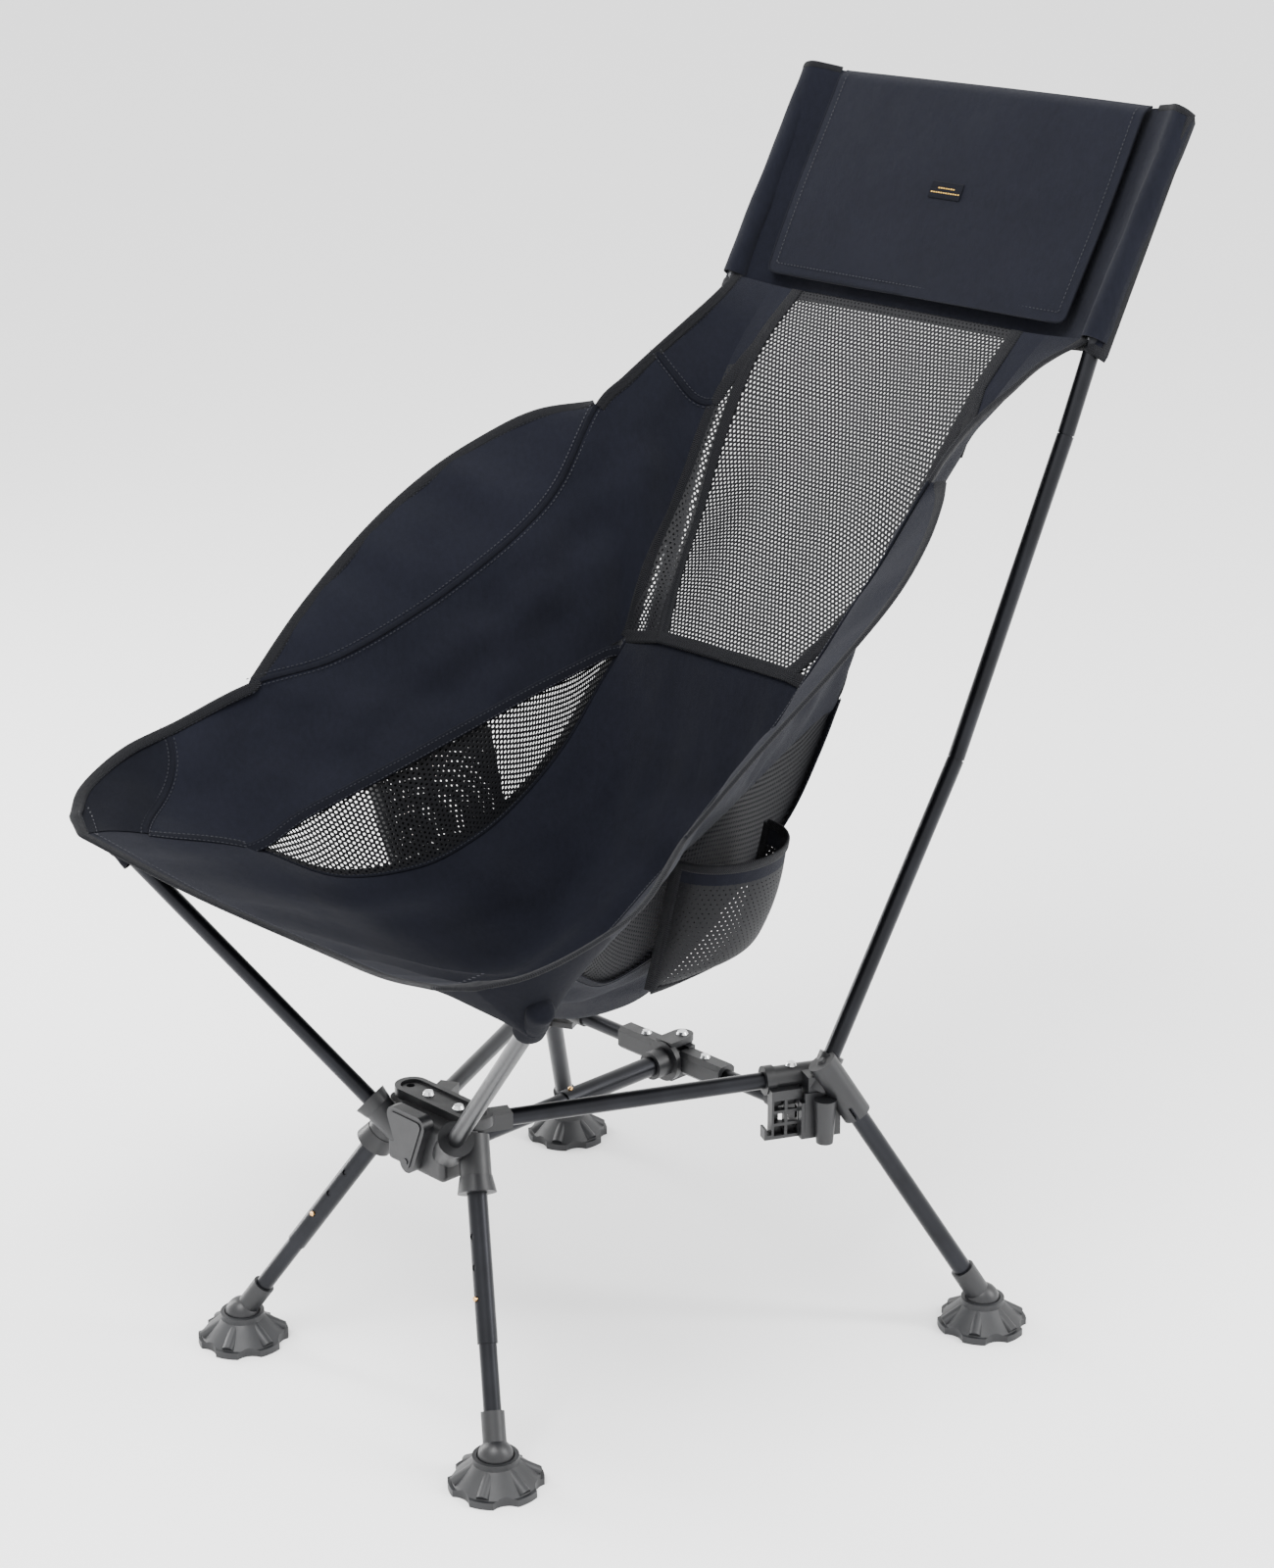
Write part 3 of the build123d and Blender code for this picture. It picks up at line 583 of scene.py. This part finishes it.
hem = chained(on_patch(seat, np.linspace(0, 1, 40), 0), on_patch(outer, np.linspace(0, 1, 8), 0))
front_edge = on_patch(outer, 1, np.linspace(0, WING_START, 50))
wing_edge = on_patch(wing, 1, np.linspace(0, 6, 70))
wing_seam = on_patch(outer, 1, np.linspace(WING_START, LAST_SEAT_ROW, 70))
upper_edge = on_patch(outer, 1, np.linspace(LAST_SEAT_ROW, TOP_ROW, 40))
lower_binding = chained(hem, front_edge, wing_edge)
window_low = on_patch(seat, 1, np.linspace(WINDOW_START, LAST_SEAT_ROW, 70))
window_high = on_patch(outer, 0, np.linspace(WINDOW_START, LAST_SEAT_ROW, 60))
cross_seam = on_patch(back, np.linspace(0, 1, 20), 0)
cross_outer = on_patch(gusset, np.linspace(0, 1, 12), 0)
net_side = on_patch(back, 1, np.linspace(0, 5, 60))
gusset_side = on_patch(outer, 0, np.linspace(LAST_SEAT_ROW, LAST_SEAT_ROW + GUSSET_END, 50))
gusset_top = on_patch(gusset, np.linspace(1, 0, 16), np.linspace(GUSSET_END, GUSSET_END + 0.75, 16))


def arc_row(share):
    """Row that the corner patch's curved edge reaches, from the outer edge to the front seam."""
    return 1.8 + 1.0 * np.cos(share * math.pi / 2) ** 1.4


corner_arc = on_patch(outer, np.linspace(1, 0, 24), arc_row(np.linspace(0, 1, 24)))
panel_seam = on_patch(outer, np.linspace(1, 0, 20),
                      np.linspace(LAST_SEAT_ROW + 2, LAST_SEAT_ROW + GUSSET_END, 20))
front_seam = on_patch(seat, 1, np.linspace(1.85, WINDOW_START, 16))


PATCH_LIFT = 0.9
ROW_LENGTH = 55.0       # about one row of SEAT_ROWS, for the patch's weave


def under_arc():
    """Reinforcing patch over the front corner, lifted just off the cloth."""
    steps, layers = 24, 16
    u = np.linspace(1, 0, steps)[None, :].repeat(layers, axis=0)
    reach = arc_row(np.linspace(0, 1, steps))
    v = np.linspace(0.0, 1.0, layers)[:, None] * reach[None, :]
    points = outer.at(u, v) + outer.normal(u.ravel(), v.ravel()) * PATCH_LIFT
    uvs = np.stack([u.ravel() * outer.width, v.ravel() * ROW_LENGTH], axis=1)
    return points, [tuple(reversed(f)) for f in grid_faces(layers, steps)], uvs


TONGUE_R = 11.5         # round the pocket on the pole's tip


def corner_tongue():
    """Cloth under the front corner, from the edge binding down to the pocket round the pole's tip."""
    top = np.concatenate([outer.at(1, np.linspace(2.5, 0, 13)), outer.at(np.linspace(0.9, 0, 5), 0),
                          seat.at(np.linspace(0.98, 0.86, 4), 0)])
    pole = SEAT_POLE_ROOT + SEAT_POLE_WAY * (SEAT_POLE_LENGTH - 22)
    first = np.cross(SEAT_POLE_WAY, (0, 0, 1))
    first /= np.linalg.norm(first)
    second = np.cross(SEAT_POLE_WAY, first)
    turn = np.linspace(math.radians(200), math.radians(-20), len(top))
    ring = pole + (np.outer(np.cos(turn), first) + np.outer(np.sin(turn), second)) * TONGUE_R
    shares = np.linspace(0, 1, 10)[:, None, None]
    rows = top[None] * (1 - shares) + ring[None] * shares
    uvs = np.stack(np.meshgrid(np.arange(len(top)) * 8.0, np.linspace(0, 50, 10)), axis=2)
    return rows.reshape(-1, 3), grid_faces(10, len(top)), uvs.reshape(-1, 2)


def make_side(side):
    """Everything sewn on one side of the chair."""
    name = side_name(side)

    seat_parts = patch_grid(seat, np.linspace(0, 1, 22), np.linspace(0, LAST_SEAT_ROW, 92))
    seat_cloth = new_object(f"seat_cloth_{name}", side, *seat_parts, CANVAS, CLOTH)
    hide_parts("seat_panel")

    top_us, top_vs = np.linspace(0, 1, 6), np.linspace(GUSSET_END, 5, 14)
    slant_u, slant_v = np.meshgrid(top_us, top_vs)
    slant_v = slant_v + (1 - slant_u) * 0.75 * (5 - slant_v) / (5 - GUSSET_END)
    filler = gusset.at(slant_u, slant_v)
    filler_uvs = np.stack([slant_u.ravel() * 30, slant_v.ravel() * 50], axis=1)
    outer_parts = joined(patch_grid(outer, np.linspace(0, 1, 18), np.linspace(0, TOP_ROW, 150)),
                         (filler, grid_faces(len(top_vs), len(top_us)), filler_uvs))
    side_cloth = new_object(f"side_cloth_{name}", side, *outer_parts, CANVAS, CLOTH)
    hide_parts("side_panels", "back_side_panels")

    wing_cloth = new_object(f"wing_cloth_{name}", side,
                            *patch_grid(wing, np.linspace(0, 1, 10), np.linspace(0, 6, 60)), CANVAS, CLOTH)
    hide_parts("wings")

    head_cloth = new_object(f"head_cloth_{name}", side,
                            *patch_grid(head, np.linspace(0, 1, 44), np.linspace(0, 4, 26)), CANVAS, CLOTH)
    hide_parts("head_panel")

    window_net = new_object(f"window_net_{name}", side,
                            *net(window, 4.3, 2.1, WINDOW_START, LAST_SEAT_ROW), NET, NET_THICK, False)
    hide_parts("seat_nets")
    back_net = new_object(f"back_net_{name}", side, *net(back, 4.1, 2.1, 0, 5), NET, NET_THICK, False)
    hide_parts("back_net")
    gusset_net = new_object(f"gusset_net_{name}", side,
                            *net(gusset, 4.1, 2.1, 0, GUSSET_END + 0.5), NET, NET_THICK, False)

    corner_patch = new_object(f"corner_patch_{name}", side, *under_arc(), CANVAS_DARK, 0.6)
    tongue = new_object(f"corner_tongue_{name}", side, *corner_tongue(), CANVAS_DARK, CLOTH)

    tapes = joined(
        ribbon(*net_side, 6.5, 1.1),
        ribbon(*gusset_side, 6.5, 1.2),
        ribbon(*gusset_top, 6.0, 1.1),
        ribbon(*chained(cross_seam, cross_outer), 6.0, 1.4, lift=0.4),
    )
    tape = new_object(f"net_tape_{name}", side, *tapes, TAPE)

    edges = joined(
        ribbon(*lower_binding, 5.0, 1.9, shift=-4.0),
        ribbon(*upper_edge, 5.0, 1.9, shift=-4.0),
        ribbon(*on_patch(head, np.linspace(0, 1, 50), 0), 4.5, 1.3, lift=-0.3, step=3),
        ribbon(*on_patch(head, np.linspace(0.78, 1, 20), 4), 3.0, 1.1, lift=-0.6, step=3),
        ribbon(*on_patch(head, 1, np.linspace(0, 4, 30)), 4.5, 1.2, shift=-3.0, lift=-0.4),
    )
    binding = new_object(f"edge_binding_{name}", side, *edges, BINDING)

    seams = joined(
        ribbon(*wing_seam, 2.2, 1.3, lift=0.3),
        ribbon(*window_low, 4.5, 0.9, shift=3.5, lift=0.2),
        ribbon(*window_high, 5.0, 0.9, shift=-4.0, lift=0.2),
        ribbon(*front_seam, 4.0, 0.9, lift=0.2),
        ribbon(*corner_arc, 2.0, 0.7, lift=0.5),
        ribbon(*panel_seam, 2.4, 0.8, lift=0.3),
    )
    seam = new_object(f"folded_seam_{name}", side, *seams, CANVAS_DARK)

    rows = [(wing_seam, 4.5), (wing_seam, -4.5), (front_edge, -8.2), (wing_edge, -8.2),
            (upper_edge, -8.2), (hem, -8.2), (hem, -16.0), (window_low, 7.2), (window_low, 1.4),
            (window_high, -7.6), (window_high, -1.6), (front_seam, 3.2), (front_seam, -3.2),
            (corner_arc, 3.6), (corner_arc, -3.6), (panel_seam, 4.2), (panel_seam, -4.2)]
    sewn = joined(*[stitches(*line, shift=shift, lift=0.9) for line, shift in rows])
    thread = new_object(f"stitching_{name}", side, *sewn, THREAD, 0, False)

    for piece in (seat_cloth, side_cloth, wing_cloth, head_cloth, corner_patch, tongue, tape, binding,
                  seam, thread):
        sling(piece)
    for piece in (window_net, back_net, gusset_net):
        sling(piece)
    return {"seat": seat_cloth, "outer": side_cloth, "wing": wing_cloth, "head": head_cloth,
            "window": window_net, "back": back_net, "gusset": gusset_net, "corner": corner_patch,
            "tongue": tongue}


# ---- cup pockets ----

POCKET_ROWS = [(355, 8), (375, 34), (405, 46), (435, 50), (465, 48)]
POCKET_MIDDLE, POCKET_HALF = 228.0, 56.0


def pocket_point(turn, z, depth):
    """A point of the pocket; turn goes round it from its front end, and depth is how far it bulges."""
    y = POCKET_MIDDLE - POCKET_HALF * math.cos(turn)
    base = 147 + 0.26 * (z - 375) + 0.12 * (POCKET_MIDDLE - y)
    return (base + depth * math.sin(turn), y, z)


pocket = Patch([[pocket_point(math.pi * k / 10, z, depth) for k in range(11)] for z, depth in POCKET_ROWS])


def make_pocket(side):
    """Net cup holder below the side seam, with its band and trim."""
    name = side_name(side)
    bag = new_object(f"cup_net_{name}", side, *net(pocket, 4.8, 3.6, 0, 3.55), NET, NET_THICK, False)
    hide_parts("cup_pockets")
    band = new_object(f"cup_band_{name}", side,
                      *patch_grid(pocket, np.linspace(0, 1, 40), np.linspace(3.45, 4, 4)), CANVAS, CLOTH)
    rim = on_patch(pocket, np.linspace(0, 1, 60), 4)
    floor = on_patch(pocket, np.linspace(0, 1, 60), 0)
    front = on_patch(pocket, 0, np.linspace(0, 4, 30))
    rear = on_patch(pocket, 1, np.linspace(0, 4, 30))
    trim = new_object(f"cup_trim_{name}", side,
                      *joined(ribbon(*rim, 4.0, 1.4), ribbon(*floor, 4.5, 1.6), ribbon(*front, 5.0, 1.5),
                              ribbon(*rear, 5.0, 1.5)), BINDING)
    for piece in (bag, band, trim):
        sling(piece)
    return bag, band


# ---- sleeves round the pole ends ----

def round_sleeve(base, tip, radius, tip_radius, rings=14, ring=20):
    """Closed cloth sleeve round a pole, a little puckered, with a domed end."""
    base, tip = np.asarray(base, float), np.asarray(tip, float)
    way = (tip - base) / np.linalg.norm(tip - base)
    first = np.cross(way, (0, 0, 1))
    first /= np.linalg.norm(first)
    second = np.cross(way, first)
    turn = np.arange(ring) * 2 * math.pi / ring
    points, uvs = [], []
    length = np.linalg.norm(tip - base)
    for k in range(rings + 4):
        share = min(k / rings, 1.0)
        size = radius + (tip_radius - radius) * share
        over = max(0, k - rings) / 3
        at = base + way * (length * share + tip_radius * 0.5 * math.sin(over * math.pi / 2))
        size *= max(0.03, math.cos(over * math.pi / 2))
        pucker = 1 + 0.035 * np.sin(3 * turn + 0.9 * k) + 0.02 * math.sin(1.7 * k)
        points.append(at + (np.outer(np.cos(turn), first) + np.outer(np.sin(turn), second))
                      * (size * pucker)[:, None])
        uvs.append(np.stack([turn * size, np.full(ring, length * share)], axis=1))
    faces = [(i * ring + j, i * ring + (j + 1) % ring, (i + 1) * ring + (j + 1) % ring, (i + 1) * ring + j)
             for i in range(rings + 3) for j in range(ring)]
    faces.append(tuple(range((rings + 3) * ring, (rings + 4) * ring)))
    return np.concatenate(points), faces, np.concatenate(uvs)


def make_sleeves(side):
    """Cloth round the upper end of the back pole and round the tip of the seat pole."""
    name = side_name(side)
    way = (POLE_TIP - POLE_BEND) / np.linalg.norm(POLE_TIP - POLE_BEND)
    sleeve = new_object(f"pole_sleeve_{name}", side,
                        *round_sleeve(POLE_BEND - way * 7, POLE_TIP + way * 3, 10.4, 9.4), CANVAS, -0.9)
    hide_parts("pole_pockets")
    sling(sleeve)
    low = SEAT_POLE_ROOT + SEAT_POLE_WAY * (SEAT_POLE_LENGTH - 36)
    high = SEAT_POLE_ROOT + SEAT_POLE_WAY * (SEAT_POLE_LENGTH + 3)
    tip = new_object(f"tip_pocket_{name}", side,
                     *round_sleeve(low, high, 11, 9.4, rings=8), CANVAS_DARK, -0.9)
    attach(tip, "front_frame")
    return sleeve, tip


# ---- head flap ----

FLAP_HALF, FLAP_CORNER, FLAP_FRONT, FLAP_HEM = 165.0, 8.0, 9.5, 9.0


def flap_point(x, down):
    """A point of the flap, with its soft unevenness."""
    lift = FLAP_FRONT + 1.6 * math.sin(x / 46 + 0.5) * down / FLAP_LENGTH
    lift += 1.2 * math.sin(down / 34 + x / 80)
    lift -= 2.4 * (abs(x) / FLAP_HALF) ** 2 * (1 - down / FLAP_LENGTH)
    lift -= FLAP_FRONT * 0.8 * max(0, 1 - down / 12) ** 2
    base = FLAP_HINGE - HEAD_WAY * down + HEAD_FRONT * lift
    return (x, base[1], base[2])


def flap_half_at(down):
    """Half the flap's width, less where its lower corners are rounded."""
    rest = down - (FLAP_LENGTH - FLAP_CORNER)
    cut = 0 if rest <= 0 else FLAP_CORNER - math.sqrt(max(0, FLAP_CORNER**2 - rest**2))
    return FLAP_HALF + 1.7 * (1 - down / FLAP_LENGTH) - cut


def make_flap():
    """The flap over the head panel, with its hem, edge and small blank label."""
    downs = np.concatenate([np.linspace(0, 12, 6), np.linspace(18, 172, 24),
                            np.linspace(176, FLAP_LENGTH, 10)])
    shares = np.linspace(-1, 1, 45)
    points = np.array([flap_point(s * flap_half_at(d), d) for d in downs for s in shares])
    uvs = np.array([(s * FLAP_HALF, d) for d in downs for s in shares])
    faces = [tuple(reversed(f)) for f in grid_faces(len(downs), len(shares))]
    flap = new_object("head_flap_cloth", 1, points, faces, uvs, CANVAS, 1.4)
    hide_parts("head_flap")
    outline = [(-flap_half_at(d), d) for d in downs] + [(flap_half_at(d), d) for d in downs[::-1]]
    inset = [(x * (1 - FLAP_HEM / FLAP_HALF), min(d, FLAP_LENGTH - FLAP_HEM)) for x, d in outline]
    hem_line = np.array([flap_point(x, max(d, 4)) for x, d in inset])
    normals = np.repeat(HEAD_FRONT[None], len(hem_line), axis=0)
    sewn = new_object("head_flap_stitching", 1, *stitches(hem_line, normals, lift=0.4), THREAD, 0, False)
    edge_line = np.array([flap_point(x * 0.995, min(d, FLAP_LENGTH - 0.8)) for x, d in outline])
    edge = new_object("head_flap_edge", 1,
                      *ribbon(edge_line, normals, 1.0, 1.0, lift=-0.7, step=4), CANVAS_DARK)
    label_at = np.array(flap_point(0, 98))
    label = new_object("woven_label", 1, *label_mesh(label_at, 17, 7.5), CANVAS_DARK)
    trim = new_object("label_trim", 1, *label_trim(label_at, 14.5, 5.0), GOLD, 0, False)
    for piece in (flap, sewn, edge, label, trim):
        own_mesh(piece)
        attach(piece, "head_flap")
    return flap, (sewn, edge, label, trim)


def label_mesh(at, half_width, half_height):
    """Small blank woven label, sewn flat on the flap."""
    line = np.array([at + (x, 0, 0) for x in np.linspace(-half_width, half_width, 9)])
    normals = np.repeat(HEAD_FRONT[None], len(line), axis=0)
    return ribbon(line, normals, half_height, 0.5, lift=0.6, step=4)


def label_trim(at, half_width, half_height):
    """A plain bar and a row of dashes, with no lettering."""
    parts = []
    for down, reach in ((-0.35, 0.55), (0.45, 1.0)):
        middle = at - HEAD_WAY * half_height * down
        across = np.linspace(-half_width * reach, half_width * reach, 12)
        line = np.array([middle + (x, 0, 0) for x in across])
        normals = np.repeat(HEAD_FRONT[None], len(line), axis=0)
        parts.append(stitches(line, normals, lift=1.1, pitch=2.6, length=2.2, width=1.1))
    return joined(*parts)


# ---- assembly ----

made = {side: make_side(side) for side in (1, -1)}
pockets = {side: make_pocket(side) for side in (1, -1)}
sleeves = {side: make_sleeves(side) for side in (1, -1)}
flap, flap_pieces = make_flap()

# A CAD node takes the finish of the first of these words that its name holds.
FINISHES = {
    "button": BRASS, "rivet": STEEL, "hub_pins": STEEL, "mid_pin": STEEL, "badge": HUB, "foot": RUBBER,
    "hub": HUB, "fitting": HUB, "bracket": HUB, "eye": HUB, "end": HUB, "tube": TUBE, "strut": TUBE,
    "pole": TUBE, "leg": TUBE,
}
for node_name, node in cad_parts.items():
    finish = next((FINISHES[word] for word in FINISHES if word in node_name), HUB)
    if not node.material_slots:
        node.data.materials.append(finish)
    for place in node.material_slots:
        place.material = finish


# ---- studio ----

def area_light(name, place, target, size, power):
    """Rectangular lamp; size is its width and height in metres, power is in watts."""
    data = bpy.data.lights.new(name, "AREA")
    data.shape = "RECTANGLE"
    data.size, data.size_y = size
    data.energy = power
    lamp = bpy.data.objects.new(name, data)
    lamp.location = place
    lamp.rotation_euler = (Vector(target) - Vector(place)).to_track_quat("-Z", "Y").to_euler()
    bpy.context.scene.collection.objects.link(lamp)


SKY_LIGHT = 2.1
FLOOR_REACH = 20.0

world = bpy.data.worlds.new("studio")
world.use_nodes = True
sky = world.node_tree.nodes["Background"]
sky.inputs["Color"].default_value = (1.0, 1.0, 1.0, 1)
sky.inputs["Strength"].default_value = SKY_LIGHT
bpy.context.scene.world = world

area_light("key", (0.5, -1.4, 3.2), (0, 0, 0.5), (1.6, 1.6), 150)
area_light("rim", (2.3, 1.5, 2.0), (0, 0, 0.5), (0.5, 2.2), 90)
area_light("strip", (-2.4, -0.6, 1.0), (0, 0, 0.4), (0.35, 2.0), 60)

floor_mesh = bpy.data.meshes.new("floor")
floor_corners = [(-FLOOR_REACH, -FLOOR_REACH, 0), (FLOOR_REACH, -FLOOR_REACH, 0),
                 (FLOOR_REACH, FLOOR_REACH, 0), (-FLOOR_REACH, FLOOR_REACH, 0)]
floor_mesh.from_pydata(floor_corners, [], [(0, 1, 2, 3)])
floor = bpy.data.objects.new("floor", floor_mesh)
paper = Shader("floor_paper").set(Roughness=0.9, Specular_IOR_Level=0.1)
paper.colour(paper.ramp(paper.noise(0.4, 2), (0.93, 0.93, 0.935), (0.95, 0.95, 0.95)))
floor_mesh.materials.append(paper.material)
bpy.context.scene.collection.objects.link(floor)

LENS, SENSOR_WIDTH = 73.85, 36.0
CAMERA_PLACE = (1.7593, -1.7223, 1.3190)
BACKWARDS = Vector((0.6765, -0.6566, 0.3337))       # from the chair towards the camera
camera_data = bpy.data.cameras.new("camera")
camera_data.lens = LENS
camera_data.sensor_width = SENSOR_WIDTH
camera = bpy.data.objects.new("camera", camera_data)
camera.location = CAMERA_PLACE
camera.rotation_mode = "QUATERNION"
camera.rotation_quaternion = (-BACKWARDS).to_track_quat("-Z", "Y")
bpy.context.scene.collection.objects.link(camera)
bpy.context.scene.camera = camera
